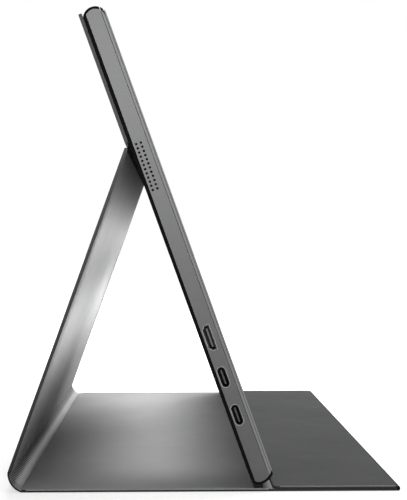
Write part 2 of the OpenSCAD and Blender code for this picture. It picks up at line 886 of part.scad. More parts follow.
// one layer of the bulging spine, between two radii about the centre of its arc
module spine_layer(r_out, r_in) {
    ease = asin(spine_gap / spine_r);
    low_a = atan2(-spine_z, spine_v) + ease;
    high_a = atan2(spine_rise - spine_z, spine_v + spine_run) - ease;
    far = 3 * spine_r;
    across(mon_w)
        translate([fold_y - spine_v, spine_z])
            intersection() {
                difference() {
                    circle(r_out);
                    circle(r_in);
                }
                polygon([[0, 0], far * [cos(low_a), sin(low_a)], far * [cos(high_a), sin(high_a)]]);
            }
}

module spine_cloth() {
    color("#3f4144")
        spine_layer(spine_r, spine_r - spine_cloth_t);
}

module spine_lining() {
    color("#8b8d90")
        spine_layer(spine_r - spine_cloth_t, spine_r - spine_cloth_t - spine_lining_t);
}

module at_base() {
    translate([0, crease_y + crease_gap, 0])
        children();
}

module base_cloth() {
    color("#3f4144")
        at_base()
            panel_cloth(base_len, base_t);
}

module base_board() {
    color("#6b6c6e")
        at_base()
            panel_board(base_len, base_t);
}

module base_lining() {
    color("#8b8d90")
        at_base()
            panel_lining(base_len, base_t);
}

// the rubber rail that the monitor's foot stands on
module foot_rest() {
    color("#1b1b1d")
        translate([-half_w + rest_inset, fold_y - rest_v - rest_w / 2, base_t])
            cube([mon_w - 2 * rest_inset, rest_w, rest_h]);
}

module flap_cloth() {
    color("#3f4144")
        at_flap()
            translate([0, flap_panel, 0])
                mirror([0, 1, 0])
                    panel_cloth(flap_panel, base_t, corner_r);
}

module flap_board() {
    color("#6b6c6e")
        at_flap()
            panel_board(flap_panel, base_t);
}

module flap_lining() {
    color("#8b8d90")
        at_flap()
            panel_lining(flap_panel, base_t);
}

// the cloth that runs round the front crease from the table panel up into the flap
module front_crease_cloth() {
    color("#26272a")
        across(mon_w)
            translate([crease_y, crease_z])
                intersection() {
                    difference() {
                        circle(crease_z);
                        circle(crease_z - fold_cloth_t);
                    }
                    translate([-2 * crease_z, -crease_z])
                        square([2 * crease_z - 0.05, 2 * crease_z]);
                }
}

rear_shell();
screw_posts();
left_side_rail();
right_side_rail();
mid_frame();
display_bezel();
glass_gasket();
cover_glass();
display_panel();
light_guide();
backlight_tray();
led_strip();
main_board();
button_board();
display_cable();
left_speaker();
right_speaker();
video_socket();
upper_data_socket();
lower_data_socket();
headphone_socket();
power_button();
menu_rocker();
housing_screws();
shell_magnets();
upper_cloth();
upper_board();
upper_lining();
cover_magnets();
upper_fold_cloth();
leg_cloth();
leg_board();
leg_lining();
spine_cloth();
spine_lining();
base_cloth();
base_board();
base_lining();
foot_rest();
flap_cloth();
flap_board();
flap_lining();
front_crease_cloth();
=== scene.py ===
import math

import bpy
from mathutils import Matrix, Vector, noise


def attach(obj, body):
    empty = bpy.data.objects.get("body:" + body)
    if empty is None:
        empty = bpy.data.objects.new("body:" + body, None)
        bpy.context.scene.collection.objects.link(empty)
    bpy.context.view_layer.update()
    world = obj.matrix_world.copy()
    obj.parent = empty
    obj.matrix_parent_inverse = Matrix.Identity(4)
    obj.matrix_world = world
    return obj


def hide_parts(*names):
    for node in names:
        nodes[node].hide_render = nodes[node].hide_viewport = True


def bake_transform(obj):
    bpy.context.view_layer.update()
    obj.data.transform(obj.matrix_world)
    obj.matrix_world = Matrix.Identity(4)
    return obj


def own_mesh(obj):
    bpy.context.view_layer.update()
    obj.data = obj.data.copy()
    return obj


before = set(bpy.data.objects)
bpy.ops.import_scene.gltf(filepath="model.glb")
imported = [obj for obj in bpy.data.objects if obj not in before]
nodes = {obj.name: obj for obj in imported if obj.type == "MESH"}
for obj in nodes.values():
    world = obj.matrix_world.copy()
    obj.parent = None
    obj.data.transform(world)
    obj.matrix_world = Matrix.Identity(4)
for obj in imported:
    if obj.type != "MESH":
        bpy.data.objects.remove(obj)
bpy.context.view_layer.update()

# ---------------------------------------------------------------- Camera
# A long lens, level with the middle of the monitor and square on to the user's left side.
# It is aimed a touch to the front, so the far end of the cover shows past the near one.
MM = 0.001
eye = bpy.data.objects.new("eye", bpy.data.cameras.new("eye"))
bpy.context.scene.collection.objects.link(eye)
eye.data.lens = 90.55
eye.data.sensor_width = 36
eye.data.clip_start = 0.01
eye.data.clip_end = 50
eye.location = (-0.73995, 0.01532, 0.11203)
eye_turn, eye_dip = math.radians(1.51), math.radians(-0.41)
level = math.cos(eye_dip)
eye_aim = Vector((math.cos(eye_turn) * level, -math.sin(eye_turn) * level, math.sin(eye_dip)))
eye.rotation_mode = "QUATERNION"
eye.rotation_quaternion = eye_aim.to_track_quat("-Z", "Y")
bpy.context.scene.camera = eye
bpy.context.scene.view_settings.view_transform = "Standard"


# ---------------------------------------------------------------- Rear shell
# One deep-drawn tray of black anodised aluminium, bead blasted to a fine satin. Its rim is
# rolled round the top and the foot, and a small turned edge catches the light there.
class Tone:
    """A number that runs over a surface. Python arithmetic on it adds the Math nodes."""

    def __init__(self, finish, socket):
        self.finish, self.socket = finish, socket

    def sum(self, operation, *numbers):
        return self.finish.sum(operation, self, *numbers)

    def __add__(self, other):
        return self.sum("ADD", other)

    def __sub__(self, other):
        return self.sum("SUBTRACT", other)

    def __mul__(self, other):
        return self.sum("MULTIPLY", other)

    def __pow__(self, other):
        return self.sum("POWER", other)

    def __gt__(self, other):
        return self.sum("GREATER_THAN", other)

    def __lt__(self, other):
        return self.sum("LESS_THAN", other)

    def __abs__(self):
        return self.sum("ABSOLUTE")

    def __rsub__(self, other):
        return self.finish.sum("SUBTRACT", other, self)

    __radd__ = __add__
    __rmul__ = __mul__


class Nodes:
    """The nodes of one finish, or of the air round the object. make() adds every one of them."""

    def __init__(self, tree):
        self.tree = tree
        tree.nodes.clear()

    def make(self, kind, settings, sockets):
        made = self.tree.nodes.new(kind)
        for key, value in settings.items():
            setattr(made, key, value)
        for key, value in sockets.items():
            self.feed(made.inputs[key], value)
        return made

    def feed(self, socket, value):
        if isinstance(value, Tone):
            value = value.socket
        if isinstance(value, bpy.types.NodeSocket):
            self.tree.links.new(value, socket)
        elif hasattr(value, "__len__") and len(value) == 3 and len(socket.default_value) == 4:
            socket.default_value = (*value, 1)
        else:
            socket.default_value = value

    def node(self, kind, settings=None, sockets=None, out=0):
        return Tone(self, self.make(kind, settings or {}, sockets or {}).outputs[out])

    def sum(self, operation, *numbers):
        return self.node("ShaderNodeMath", {"operation": operation}, dict(enumerate(numbers)))

    def split(self, place):
        """The three numbers of a place on the surface."""
        return [Tone(self, number) for number in self.make("ShaderNodeSeparateXYZ", {}, {0: place}).outputs]


class Finish(Nodes):
    """A surface finish: one principled shader, and what feeds it."""

    def __init__(self, name, **fixed):
        self.material = bpy.data.materials.new(name)
        self.material.use_nodes = True
        super().__init__(self.material.node_tree)
        sockets = {key.replace("_", " "): value for key, value in fixed.items()}
        self.shader = self.make("ShaderNodeBsdfPrincipled", {}, sockets)
        self.make("ShaderNodeOutputMaterial", {}, {"Surface": self.shader.outputs[0]})

    def wear(self, **varying):
        for key, value in varying.items():
            self.feed(self.shader.inputs[key.replace("_", " ")], value)
        return self

    def mixed(self, share, under, over):
        """under where share is 0, and over where it is 1. Both are colours."""
        sockets = {0: share, 6: under, 7: over}
        return self.node("ShaderNodeMix", {"data_type": "RGBA"}, sockets, out=2)

    def place(self):
        return self.node("ShaderNodeTexCoord", out=3)

    def cloudy(self, across, detail=2.0, at=None):
        """Soft noise from 0 to 1. across is the width of its patches, in metres."""
        sockets = {"Vector": at or self.place(), "Scale": 1 / across, "Detail": detail, "Roughness": 0.55}
        return self.node("ShaderNodeTexNoise", {}, sockets)

    def relief(self, height, deep, strength=1.0):
        return self.node("ShaderNodeBump", {}, {"Height": height, "Distance": deep, "Strength": strength})

    def thread_map(self):
        return self.node("ShaderNodeUVMap", {"uv_map": "threads"})

    def thread_lines(self):
        """How far along and across the flat cloth a point lies, in metres."""
        return self.split(self.thread_map())[:2]

    def worn_edge_and_highlight(self, radius):
        """1 along worn edges, which also stand in as a painted highlight, and 0 on open faces."""
        soft = self.node("ShaderNodeBevel", {"samples": 4}, {"Radius": radius})
        true = self.node("ShaderNodeNewGeometry", out=1)
        facing = self.node("ShaderNodeVectorMath", {"operation": "DOT_PRODUCT"}, {0: soft, 1: true}, out=1)
        return self.sum("MINIMUM", (1 - facing) * 3.2, 1.0)


def dress(name, *finishes, part=None, edge=0.0, steps=2):
    """Puts finishes on a CAD node. part(face) picks which one, and edge rounds its sharp edges."""
    body = nodes[name]
    body.data.materials.clear()
    for finish in finishes:
        body.data.materials.append(finish.material)
    for face in body.data.polygons:
        face.material_index = part(face) if part else 0
    if edge:
        eased = body.modifiers.new("eased", "BEVEL")
        eased.width, eased.segments, eased.limit_method = edge, steps, "ANGLE"
        eased.angle_limit = math.radians(50)
        eased.harden_normals = True
        eased.use_clamp_overlap = True
    return body


def blasted(name, dark, light, rough, grain=0.00022, deep=0.000012, **fixed):
    """Bead-blasted and anodised sheet: fine pits, faint clouding, and edges a little paler, as wear and as a
    painted edge highlight.
    """
    finish = Finish(name, **fixed)
    pits = finish.cloudy(grain, 3.0)
    cloud = finish.cloudy(0.03, 4.0)
    # Paler edges: partly wear, partly a painted highlight along the edges.
    worn = finish.worn_edge_and_highlight(0.00035) * (0.35 + 0.65 * finish.cloudy(0.006, 3.0))
    tone = finish.mixed(cloud * 0.5 + pits * 0.4, dark, light)
    worn_and_highlight_tone = tuple(min(1, c * 1.9 + 0.012) for c in light)
    return finish.wear(
        Base_Color=finish.mixed(worn * 0.55, tone, worn_and_highlight_tone),
        Roughness=rough + (cloud - 0.5) * 0.12 + pits * 0.05,
        Normal=finish.relief(pits, deep, 0.5),
    )


shell_black = blasted(
    "shell_black", (0.0014, 0.0014, 0.0016), (0.0034, 0.0034, 0.0037), 0.42, Specular_IOR_Level=0.06
)
dress("rear_shell", shell_black, edge=0.00012, steps=3)

# ---------------------------------------------------------------- Side rails
# Extruded aluminium strips, anodised mid grey, pressed into the ends of the shell.
# The grille holes and the socket openings are milled through them and lightly broken.
rail_grey = blasted("rail_grey", (0.235, 0.236, 0.238), (0.268, 0.269, 0.272), 0.5, Specular_IOR_Level=0.12)
milled_ring = blasted("milled_ring", (0.36, 0.362, 0.365), (0.46, 0.462, 0.466), 0.36, Metallic=0.5)


def in_recess(face):
    """1 for the freshly milled rings that are sunk round the sockets, 0 for the rest of a rail."""
    return 1 if 178.6 < abs(face.center.x) / MM < 178.95 else 0


dress("left_side_rail", rail_grey, milled_ring, part=in_recess, edge=0.00009)
dress("right_side_rail", rail_grey, edge=0.00009)


# ---------------------------------------------------------------- Inner frame, screws and posts
# A black moulded frame sits in the shell on brass posts, held by small plated screws.
# Magnets for the cover are glued to the shell's inside.
def moulded(name, dark, light, rough, grain=0.0006, **fixed):
    """Moulded plastic with a spark-eroded grain."""
    finish = Finish(name, **fixed)
    grainy = finish.cloudy(grain, 4.0)
    finish.tone = finish.mixed(finish.cloudy(0.012, 3.0), dark, light)
    return finish.wear(
        Base_Color=finish.tone,
        Roughness=rough + (grainy - 0.5) * 0.2,
        Normal=finish.relief(grainy, 0.00003, 0.4),
    )


def turned(name, dark, light, rough, pitch=0.00035, **fixed):
    """Turned or plated metal: fine tool rings, small stains."""
    finish = Finish(name, Metallic=1.0, **fixed)
    rings = finish.node(
        "ShaderNodeTexWave",
        {"wave_type": "BANDS", "bands_direction": "Z"},
        {"Vector": finish.place(), "Scale": 0.05 / pitch, "Distortion": 1.5, "Detail": 2.0},
        out=1,
    )
    stain = finish.cloudy(0.002, 4.0)
    return finish.wear(
        Base_Color=finish.mixed(stain, dark, light),
        Roughness=rough + rings * 0.08 + stain * 0.08,
        Normal=finish.relief(rings, 0.000008, 0.4),
    )


dress("mid_frame", moulded("frame_plastic", (0.012, 0.012, 0.013), (0.022, 0.022, 0.023), 0.55))
dress("screw_posts", turned("post_brass", (0.46, 0.33, 0.13), (0.62, 0.47, 0.22), 0.3))
dress("housing_screws", turned("screw_steel", (0.38, 0.38, 0.39), (0.56, 0.56, 0.57), 0.28))
nickel = turned("magnet_steel", (0.5, 0.5, 0.49), (0.66, 0.66, 0.65), 0.25)
dress("shell_magnets", nickel)
dress("cover_magnets", nickel)

# ---------------------------------------------------------------- Display bezel, gasket and glass
# A pale moulded bezel closes the front of the housing, and a thin black gasket seals the
# one-piece glass on it. The glass is printed black round the picture and its cut edge is ground.
MON_FOOT, MON_UP, MON_OUT = (-0.02183445, 0.00193995), (0.340872, 0.940109), (-0.940109, 0.340872)


def on_monitor(x, s, n):
    """A point of the monitor: x across, s up its back, n out of its back. All in millimetres."""
    y = MON_FOOT[0] + (s * MON_UP[0] + n * MON_OUT[0]) * MM
    return Vector((x * MM, y, MON_FOOT[1] + (s * MON_UP[1] + n * MON_OUT[1]) * MM))


def in_monitor(point):
    """The same turned round: (x, s, n) in millimetres."""
    y, z = point[1] - MON_FOOT[0], point[2] - MON_FOOT[1]
    return point[0] / MM, (y * MON_UP[0] + z * MON_UP[1]) / MM, (y * MON_OUT[0] + z * MON_OUT[1]) / MM


def monitor_lines(finish):
    """x across, s up and n out of the monitor over a surface, in metres."""
    x, y, z = finish.split(finish.place())
    y, z = y - MON_FOOT[0], z - MON_FOOT[1]
    return x, y * MON_UP[0] + z * MON_UP[1], y * MON_OUT[0] + z * MON_OUT[1]


CROWN = (220.4, 5.0, 5.6)  # middle (s, n) and radius of the rounded top edge, in millimetres
bezel_grey = moulded("bezel_grey", (0.24, 0.241, 0.243), (0.27, 0.271, 0.273), 0.45, Metallic=0.42)
_, up, out = monitor_lines(bezel_grey)
from_crown = ((up - CROWN[0] * MM) ** 2.0 + (out - CROWN[1] * MM) ** 2.0) ** 0.5
black_rim = (from_crown > (CROWN[2] - 1.1) * MM) * (up > CROWN[0] * MM)
bezel_grey.wear(Base_Color=bezel_grey.mixed(black_rim, bezel_grey.tone, (0.002, 0.002, 0.0022)))
gasket_black = moulded("gasket_black", (0.03, 0.03, 0.03), (0.05, 0.05, 0.05), 0.7)
dress("display_bezel", bezel_grey, edge=0.00012)
dress("glass_gasket", gasket_black)

PICTURE = (344.2, 193.6, 118.9)  # width, height and middle height of the picture, in millimetres
front_glass = Finish("front_glass", Specular_IOR_Level=0.32)
across, up, _ = monitor_lines(front_glass)
lit = (abs(across) < PICTURE[0] / 2 * MM) * (abs(up - PICTURE[2] * MM) < PICTURE[1] / 2 * MM)
smudge = front_glass.cloudy(0.035, 5.0)
front_glass.wear(
    Base_Color=front_glass.mixed(lit, (0.0022, 0.0022, 0.0024), (0.0075, 0.008, 0.0092)),
    Roughness=0.05 + (smudge ** 3.0) * 0.25,
)
ground_edge = moulded(
    "ground_edge", (0.07, 0.071, 0.073), (0.1, 0.102, 0.105), 0.38,
    grain=0.0002, IOR=1.9, Specular_IOR_Level=0.9,
)
FACE_OUT = Vector((0, *MON_OUT))


def off_the_front(face):
    """0 for the face of the glass, 1 for its ground edge."""
    return 0 if face.normal.dot(FACE_OUT) > 0.7 else 1


dress("cover_glass", front_glass, ground_edge, part=off_the_front, edge=0.00012)

# ---------------------------------------------------------------- Display panel and its light
# Liquid crystal panel, clear light guide and pressed tray, with a strip of small white lamps
# along the foot of the guide. Nothing of it shows while the glass is shut.
dress("display_panel", moulded("display_dark", (0.008, 0.008, 0.01), (0.013, 0.014, 0.017), 0.2))
guide_clear = moulded("guide_clear", (0.74, 0.76, 0.78), (0.82, 0.83, 0.85), 0.25, Transmission_Weight=0.5)
dress("light_guide", guide_clear)
dress("backlight_tray", turned("tray_silver", (0.52, 0.53, 0.54), (0.64, 0.65, 0.66), 0.4, pitch=0.0012))
dress("led_strip", moulded("led_white", (0.72, 0.7, 0.6), (0.84, 0.82, 0.74), 0.45))

# ---------------------------------------------------------------- Boards, cable and speakers
# Green boards behind the sockets and the buttons, an amber film cable to the panel, and two
# black moulded speakers right behind the drilled grilles.
board_green = Finish("circuit_green", Specular_IOR_Level=0.5, Coat_Weight=0.3)
laid_out = {"Vector": board_green.place(), "Scale": 420.0, "Mortar Size": 0.012}
traces = board_green.node("ShaderNodeTexBrick", {"offset": 0.37}, laid_out, out=1)
board_green.wear(
    Base_Color=board_green.mixed(traces, (0.012, 0.075, 0.035), (0.03, 0.13, 0.065)),
    Roughness=0.34 + board_green.cloudy(0.004, 3.0) * 0.15,
    Normal=board_green.relief(traces, 0.00003, 0.6),
)
dress("main_board", board_green)
dress("button_board", board_green)
dress("display_cable", moulded("cable_amber", (0.38, 0.16, 0.03), (0.5, 0.24, 0.05), 0.3))
speaker_black = moulded("speaker_black", (0.006, 0.006, 0.006), (0.01, 0.01, 0.01), 0.6)
dress("left_speaker", speaker_black)
dress("right_speaker", speaker_black)


# ---------------------------------------------------------------- Sockets
# A slanted video socket and two oval data sockets: dark drawn steel shells that end in the
# milled rings of the rail, with a moulded tongue for the contacts. The headphone socket is plastic.
def socket_part(middle_s, tongue_long, tongue_low, tongue_high):
    """1 for the tongue inside a socket, 0 for its shell."""

    def pick(face):
        x, s, n = in_monitor(face.center)
        on_tongue = abs(s - middle_s) < tongue_long / 2 + 0.02 and tongue_low - 0.02 < n < tongue_high + 0.02
        return 1 if on_tongue and -178.5 < x < -172.5 else 0

    return pick


video_steel = turned("video_steel", (0.05, 0.05, 0.051), (0.085, 0.085, 0.087), 0.42, pitch=0.0005)
socket_steel = turned("socket_steel", (0.012, 0.012, 0.0125), (0.024, 0.024, 0.025), 0.42, pitch=0.0005)
video_tongue = moulded("video_tongue", (0.2, 0.201, 0.204), (0.28, 0.281, 0.285), 0.5)
tongue_grey = moulded("tongue_grey", (0.09, 0.091, 0.093), (0.15, 0.151, 0.154), 0.5)
socket_plastic = moulded("socket_plastic", (0.01, 0.01, 0.01), (0.018, 0.018, 0.018), 0.45)
dress("video_socket", video_steel, video_tongue, part=socket_part(69.5, 8.6, 4.05, 4.75))
dress("upper_data_socket", socket_steel, tongue_grey, part=socket_part(50.85, 6.7, 3.8, 4.5))
dress("lower_data_socket", socket_steel, tongue_grey, part=socket_part(32.9, 6.7, 3.8, 4.5))
dress("headphone_socket", socket_plastic, edge=0.00008)

# ---------------------------------------------------------------- Buttons
# The power button and the two-way menu rocker, dark anodised caps in slots of the right rail.
button_grey = blasted("button_grey", (0.09, 0.091, 0.093), (0.12, 0.121, 0.124), 0.42, Metallic=0.4)
dress("power_button", button_grey, edge=0.00015, steps=3)
dress("menu_rocker", button_grey, edge=0.00015, steps=3)


# ---------------------------------------------------------------- Table panel of the cover
# A thin stiff board between an outer cloth of dark close twill, turned in round all four edges,
# and a pale lining glued on inside the turning. Its side edges are stitched in pale thread from rail to
# spine: a painted highlight.
def rows(low, high, step):
    count = max(2, round((high - low) / step))
    return [low + (high - low) * k / count for k in range(count + 1)]


def sewn(name, points, faces, threads):
    """A mesh piece, with where each point lies in the flat cloth, in metres, as its thread map."""
    mesh = bpy.data.meshes.new(name)
    mesh.from_pydata([tuple(p) for p in points], [], faces)
    flat = mesh.uv_layers.new(name="threads")
    for loop in mesh.loops:
        flat.data[loop.index].uv = threads[loop.vertex_index]
    for face in mesh.polygons:
        face.use_smooth = True
    mesh.update()
    piece = bpy.data.objects.new(name, mesh)
    bpy.context.scene.collection.objects.link(piece)
    return piece


def compass(degrees):
    return math.cos(math.radians(degrees)), math.sin(math.radians(degrees))


COVER_HALF = 179.0  # half the width of the cover's cloth, in millimetres
SHARPEST = 0.06  # the smallest radius of a cloth corner, in millimetres


def wrapped(name, place, low, high, corners, face, rings, lie, outward, half=COVER_HALF, step=6.0):
    """A cloth over a board: a grid over the face, then rings (inset, height) round its edge.
    corners are the corner radii at the low and high ends. lie(x, v) lifts the cloth off the board."""
    keep = max(*corners, rings[0][0]) + 0.6
    xs, vs = rows(-half + keep, half - keep, step), rows(low + keep, high - keep, step)
    points, threads, faces = [], [], []
    for v in vs:
        for x in xs:
            points.append(place(x, v, face + lie(x, v)))
            threads.append((x * MM, v * MM))
    across = len(xs)
    for j in range(len(vs) - 1):
        for i in range(across - 1):
            at = j * across + i
            faces.append((at, at + 1, at + 1 + across, at + across))
    rim, steps, last, middle = [], 5, (len(vs) - 1) * across, (low + high) / 2

    def corner(at, side, v, radius, start):
        for k in range(steps + 1):
            rim.append((at, side * (half - radius), v, *compass(start + 90 * k / steps), radius))

    for i, x in enumerate(xs):
        rim.append((i, x, low, 0, -1, None))
    corner(across - 1, 1, low + corners[0], corners[0], -90)
    for j, v in enumerate(vs):
        rim.append((j * across + across - 1, half, v, 1, 0, None))
    corner(last + across - 1, 1, high - corners[1], corners[1], 0)
    for i, x in reversed(list(enumerate(xs))):
        rim.append((last + i, x, high, 0, 1, None))
    corner(last, -1, high - corners[1], corners[1], 90)
    for j, v in reversed(list(enumerate(vs))):
        rim.append((j * across, -half, v, -1, 0, None))
    corner(0, -1, low + corners[0], corners[0], 180)

    def out_to(x, v, out_x, out_v, radius, past):
        """The rim point that lies past its edge by the given length. A ring deeper in than
        a corner's radius gets a sharp corner, so that the cloth never turns inside out."""
        if radius is None:
            return x + out_x * past, v + out_v * past
        reach = max(radius + past, SHARPEST)
        slip = radius + past - reach
        slip_x, slip_v = math.copysign(1, x) * slip, math.copysign(1, v - middle) * slip
        return x + slip_x + out_x * reach, v + slip_v + out_v * reach

    before, run, last_ring = [r[0] for r in rim], -rings[0][0], rings[0]
    for inset, height in rings:
        run += math.hypot(inset - last_ring[0], height - last_ring[1])
        last_ring, ring = (inset, height), []
        for _, *edge in rim:
            px, pv = out_to(*edge, -inset)
            ring.append(len(points))
            points.append(place(px, pv, height + lie(px, pv)))
            threads.append(tuple(c * MM for c in out_to(*edge, run)))
        for k in range(len(rim)):
            m = (k + 1) % len(rim)
            face_points = [before[k], before[m], ring[m], ring[k]]
            faces.append(tuple(dict.fromkeys(reversed(face_points))))
        before = ring
    if outward:
        faces = [tuple(reversed(f)) for f in faces]
    return sewn(name, points, faces, threads)


def flat_lie(x, v):
    return 0.0


def soft_lie(deep, across, seed):
    """How a glued lining lies: long low swells, none of them below the board."""

    def lie(x, v):
        swell = noise.noise(Vector((x / across, v / across, seed))) * 0.5 + 0.5
        return deep * swell

    return lie


def twill(name, dark, light, rib, rough, sheen, slant=1.0, deep=0.00005, fuzz=0.35):
    """Close twill: slanted ribs over fine weft threads, uneven in tone and fuzzy on top."""
    finish = Finish(name, Sheen_Weight=sheen, Sheen_Roughness=0.5, Specular_IOR_Level=0.03)
    thread = finish.thread_map()
    along, around = finish.thread_lines()
    wander = (finish.cloudy(0.009, 3.0, at=thread) - 0.5) * 0.0006
    u, v = along + wander, around + wander
    full = 2 * math.pi
    wale = (u * (full / rib) + v * (full / rib * slant)).sum("SINE") * 0.5 + 0.5
    weft = (v * (full / (rib * 0.52))).sum("SINE") * 0.5 + 0.5
    warp = (u * (full / (rib * 0.52))).sum("SINE") * 0.5 + 0.5
    lint = finish.cloudy(0.0004, 4.0, at=thread)
    height = wale * 0.55 + weft * warp * 0.3 + lint * fuzz
    patch = finish.cloudy(0.05, 5.0, at=thread)
    worn = finish.cloudy(0.012, 4.0, at=thread)
    finish.tone = finish.mixed(height * 0.75 + (patch - 0.5) * 0.5 + (worn - 0.5) * 0.25, dark, light)
    return finish.wear(
        Base_Color=finish.tone,
        Roughness=rough + (1 - wale) * 0.08,
        Normal=finish.relief(height, deep, 0.7),
    )


CLOTH_DARK, CLOTH_LIGHT = (0.062, 0.0625, 0.064), (0.128, 0.129, 0.131)
LINING_DARK, LINING_LIGHT = (0.37, 0.371, 0.374), (0.55, 0.551, 0.555)
cover_cloth = twill("cover_cloth", CLOTH_DARK, CLOTH_LIGHT, 0.00082, 0.9, 0.02)
cover_lining = twill("cover_lining", LINING_DARK, LINING_LIGHT, 0.0009, 0.92, 0.03, slant=0.7, deep=0.00004)
board_fibre = moulded("cover_board", (0.17, 0.165, 0.155), (0.23, 0.225, 0.215), 0.8)


def on_table(x, y, z):
    return Vector((x, y, z)) * MM


TURNING = 0.94  # how far the outer cloth is turned in over the inside, in millimetres


def cover_skin(name, place, low, high, corners, thick, lie=flat_lie, turn=TURNING):
    """The outer cloth of a panel: over the face, round the edge and turned in on the inside."""
    edge = 0.3
    rings = [(1.6, 0.0), (edge, 0.0), (0.1, 0.07), (0.02, 0.18), (0.0, thick * 0.4), (0.0, thick * 0.66)]
    rings += [(0.02, thick - 0.18), (0.1, thick - 0.06), (edge, thick), (turn * 0.75, thick + 0.005)]
    rings += [(turn - 0.06, thick - 0.03), (turn, thick - 0.12), (turn, thick - 0.24)]
    piece = wrapped(name, place, low, high, corners, 0.0, rings, lie, True)
    piece.data.materials.append(cover_cloth.material)
    return piece


def cover_inside(name, place, low, high, corners, thick, lie, turn=TURNING):
    """The lining of a panel: glued on inside the turned edge, its own rim pressed down."""
    rings = [(turn + 1.3, thick), (turn + 0.6, thick - 0.01), (turn + 0.25, thick - 0.05)]
    rings += [(turn + 0.08, thick - 0.13), (turn + 0.03, thick - 0.23)]
    piece = wrapped(name, place, low, high, corners, thick, rings, lie, False)
    piece.data.materials.append(cover_lining.material)
    return piece


def thicken(piece, thick):
    """Gives a strip of cloth its thickness, away from the side that shows."""
    body = piece.modifiers.new("thickness", "SOLIDIFY")
    body.thickness, body.offset = thick * MM, -1.0
    body.use_even_offset = True
    with bpy.context.temp_override(object=piece, active_object=piece, selected_objects=[piece]):
        bpy.ops.object.modifier_apply(modifier="thickness")
    for face in piece.data.polygons:
        face.use_smooth = True
    piece.data.set_sharp_from_angle(angle=math.radians(50))


def fold_band(name, line, thick, half, finish=None):
    """A strip of cloth along a line of (y, z) points. The side that shows is left of its run."""
    points, faces, threads = [], [], []
    xs, run = rows(-half, half, 4.0), 0.0
    for k, (y, z) in enumerate(line):
        if k:
            run += math.hypot(y - line[k - 1][0], z - line[k - 1][1])
        for x in xs:
            points.append(on_table(x, y, z))
            threads.append((x * MM, run * MM))
    across = len(xs)
    for k in range(len(line) - 1):
        for i in range(across - 1):
            at = k * across + i
            faces.append((at, at + 1, at + 1 + across, at + across))
    piece = sewn(name, points, faces, threads)
    piece.data.materials.append((finish or cover_cloth).material)
    thicken(piece, thick)
    return piece


STITCH = (0.9, 0.14, 0.34, 178.82)  # length, thinnest and thickest radius, and how far out, in millimetres


def edge_stitches(name, place, low, high, height, thread, sides=8):
    """A row of close thread loops over both side edges of a panel."""
    points, faces, threads = [], [], []
    long, thin, full, out = STITCH
    for side in (-1, 1):
        for k, v in enumerate(rows(low, high, long / 4)):
            puff = thin + (full - thin) * abs(math.sin(math.pi * v / long))
            for turn in range(sides + 1):
                a, b = compass(-60 + 240 * turn / sides)
                points.append(place(side * (out + a * puff), v, height + b * puff))
                threads.append((a * 0.0002, v * MM))
            if k:
                first = len(points) - 2 * (sides + 1)
                for turn in range(sides):
                    at = first + turn
                    quad = (at, at + 1, at + sides + 2, at + sides + 1)
                    faces.append(quad if side > 0 else tuple(reversed(quad)))
    piece = sewn(name, points, faces, threads)
    piece.data.materials.append(thread.material)
    return piece


# The threads are far paler than the cloth and the lining they lie on: a painted highlight along the side
# edges.
cloth_thread_highlight = twill("cloth_thread_highlight", (0.36, 0.361, 0.365), (0.6, 0.601, 0.606), 0.00042, 0.85, 0.05)
lining_thread_highlight = twill("lining_thread_highlight", (0.56, 0.561, 0.565), (0.82, 0.821, 0.826), 0.00042, 0.85, 0.05)


def bend(middle, radius, start, stop, count):
    """Points (y, z) round a bend, from start to stop degrees."""
    turns = [math.radians(start + (stop - start) * k / count) for k in range(count + 1)]
    return [(middle[0] + radius * math.cos(a), middle[1] + radius * math.sin(a)) for a in turns]


# In millimetres: a panel's low end, high end and thickness, and the middle (y, z) and radius of a bend.
BASE = (-86.659, 81.277, 1.08)
CREASE, CREASE_R = (-86.759, 1.12), 1.12
SPINE_MIDDLE, SPINE_R = (78.879, 8.570), 9.0
FOLDED = 2.24  # height of the two layers in front, in millimetres
FOLD_HALF, LINING_HALF = 178.9, 178.2  # half the width of the bands across a fold, in millimetres
CLOTH_CORNER, LINING_CORNER, HEM_CORNER = 0.7, 1.6, 3.0  # corner radii, in millimetres
base_lie = soft_lie(0.16, 34.0, 3.1)


def table_lie(x, y):
    """The lining only lifts where nothing lies on it: behind the rubber rail."""
    free = min(1.0, max(0.0, (y + 18.0) / 14.0)) * min(1.0, max(0.0, (80.0 - y) / 6.0))
    return base_lie(x, y) * free


base_skin = cover_skin("base_skin", on_table, BASE[0], BASE[1], (CLOTH_CORNER, CLOTH_CORNER), BASE[2])
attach(base_skin, "base")
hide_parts("base_cloth")
base_inside = cover_inside(
    "base_inside", on_table, BASE[0], BASE[1], (LINING_CORNER, LINING_CORNER), BASE[2], table_lie
)
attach(base_inside, "base")
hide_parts("base_lining")
base_lining_turn = fold_band(
    "base_lining_turn",
    [(79.4, 1.12), (79.9, 1.15), (80.4, 1.18), (80.9, 1.18)]
    + [(81.2, 1.15), (81.6, 1.08), (81.95, 1.05), (82.22, 1.13)],
    0.05, LINING_HALF, cover_lining,
)
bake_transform(base_lining_turn)
base_stitches = edge_stitches("base_stitches", on_table, -28.6, BASE[1] - 1.6, BASE[2] - 0.02, lining_thread_highlight)
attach(base_stitches, "base")
dress("base_board", board_fibre)
front_line = [(CREASE[0] + 0.12, 0.0)] + bend(CREASE, CREASE_R, 270, 90, 14) + [(CREASE[0] + 0.12, FOLDED)]
front_roll = fold_band("front_roll", front_line, 0.35, COVER_HALF)
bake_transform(front_roll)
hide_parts("front_crease_cloth")
rear_line = bend(SPINE_MIDDLE, SPINE_R - 0.02, -68.6, -70.6, 2) + [(81.62, 0.02), (81.2, 0.01), (80.85, 0.02)]
rear_hinge = fold_band("rear_hinge", rear_line, 0.3, FOLD_HALF)
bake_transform(rear_hinge)

# ---------------------------------------------------------------- Rubber rail
# A moulded rubber rail glued to the table panel. The monitor's foot stands on it.
rest_rubber = moulded("rest_rubber", (0.008, 0.008, 0.008), (0.016, 0.016, 0.016), 0.75)
dress("foot_rest", rest_rubber, edge=0.0005, steps=3)
